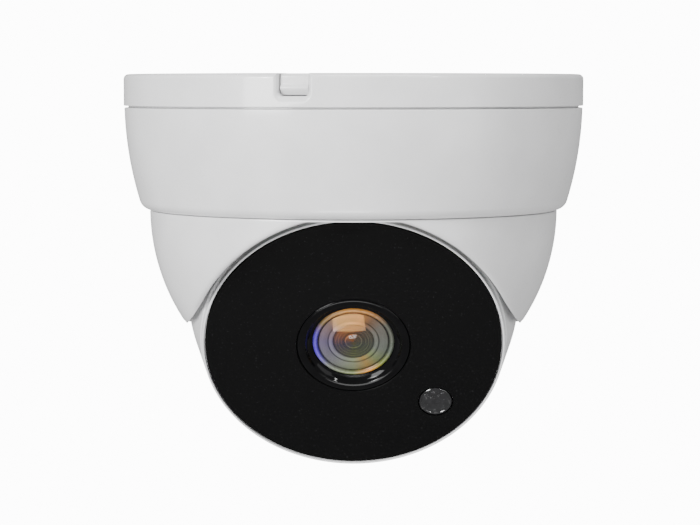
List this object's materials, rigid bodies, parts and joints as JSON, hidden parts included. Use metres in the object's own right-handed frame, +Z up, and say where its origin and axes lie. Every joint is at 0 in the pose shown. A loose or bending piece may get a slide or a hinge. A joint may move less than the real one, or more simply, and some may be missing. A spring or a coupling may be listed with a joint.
{
  "type": "dome cctv camera",
  "caption": "Ceiling-mounted turret dome camera: round base, tapered cover ring, swivelling arched shell and a tilting, rolling ball with a flat black window, lens and light sensor.",
  "frame": {"origin": "centre of the flat face that lies on the ceiling", "axes": "+Z up into the ceiling, -Y the way the ball looks as stored, +X right as the lens sees it mirrored, that is right in a front view"},
  "size_m": [0.11, 0.11, 0.0941],
  "materials": {
    "housing_paint": "light grey powder coat on die-cast aluminium, satin gloss",
    "gasket_foam": "closed-cell black foam",
    "rubber": "matte black rubber",
    "zinc_steel": "zinc-plated steel",
    "nylon": "natural nylon",
    "black_plastic": "matte black moulded plastic",
    "window_black": "black infrared-passing window, satin",
    "clear_plastic": "smoky clear plastic",
    "lens_glass": "coated optical glass",
    "inner_lens_glass": "dark coated inner lens",
    "lens_ring": "black anodised aluminium, polished",
    "board_green": "green solder mask",
    "board_white": "white solder mask",
    "chip_black": "black chip package",
    "led_lens": "clear moulded LED lens"
  },
  "bodies": {
    "base": {"base_plate": "housing_paint", "ceiling_gasket": "gasket_foam", "cable_slot_cover": "housing_paint", "cable_grommet": "rubber", "cover_seal": "rubber", "cover_ring": "housing_paint", "cover_lock_screw": "zinc_steel", "pan_glide_ring": "nylon"},
    "swivel": {"swivel_shell": "housing_paint", "clamp_bracket": "zinc_steel", "bracket_screw_1": "zinc_steel", "bracket_screw_2": "zinc_steel", "bracket_screw_3": "zinc_steel", "bracket_screw_4": "zinc_steel", "friction_pad_left": "rubber", "friction_pad_right": "rubber", "friction_pad_front": "rubber"},
    "tilt_slide": {"guide_collar": "nylon"},
    "ball": {"ball_rear_housing": "housing_paint", "ball_front_housing": "housing_paint", "housing_seal": "rubber", "housing_screw_1": "zinc_steel", "housing_screw_2": "zinc_steel", "housing_screw_3": "zinc_steel", "cable_gland": "black_plastic", "trim_ring": "housing_paint", "front_window": "window_black", "window_gasket": "rubber", "lens_hood": "black_plastic", "lens_front_element": "lens_glass", "lens_retaining_ring": "lens_ring", "lens_inner_element": "inner_lens_glass", "lens_barrel": "black_plastic", "lens_holder": "black_plastic", "ir_cut_filter": "lens_glass", "image_sensor": "chip_black", "sensor_board": "board_green", "main_board": "board_green", "board_post_1": "zinc_steel", "board_post_2": "zinc_steel", "board_post_3": "zinc_steel", "board_post_4": "zinc_steel", "led_board_post_1": "zinc_steel", "led_board_post_2": "zinc_steel", "led_board_screw_1": "zinc_steel", "led_board_screw_2": "zinc_steel", "led_board_screw_3": "zinc_steel", "ir_board": "board_white", "ir_led_1": "led_lens", "ir_led_2": "led_lens", "ir_led_3": "led_lens", "ir_led_4": "led_lens", "ir_led_5": "led_lens", "ir_led_6": "led_lens", "light_sensor": "chip_black", "light_sensor_sleeve": "rubber", "light_sensor_window": "clear_plastic"}
  },
  "joints": [
    {"name": "pan", "type": "hinge", "parent": "base", "child": "swivel", "pos_m": [0, 0, 0], "axis": [0, 0, 1], "range_deg": [-175, 175]},
    {"name": "tilt", "type": "hinge", "parent": "swivel", "child": "tilt_slide", "pos_m": [0, 0, -0.052], "axis": [1, 0, 0], "range_deg": [-15, 60]},
    {"name": "roll", "type": "hinge", "parent": "tilt_slide", "child": "ball", "pos_m": [0, 0, -0.052], "axis": [0, -0.866, -0.5], "range_deg": [-175, 175]}
  ]
}
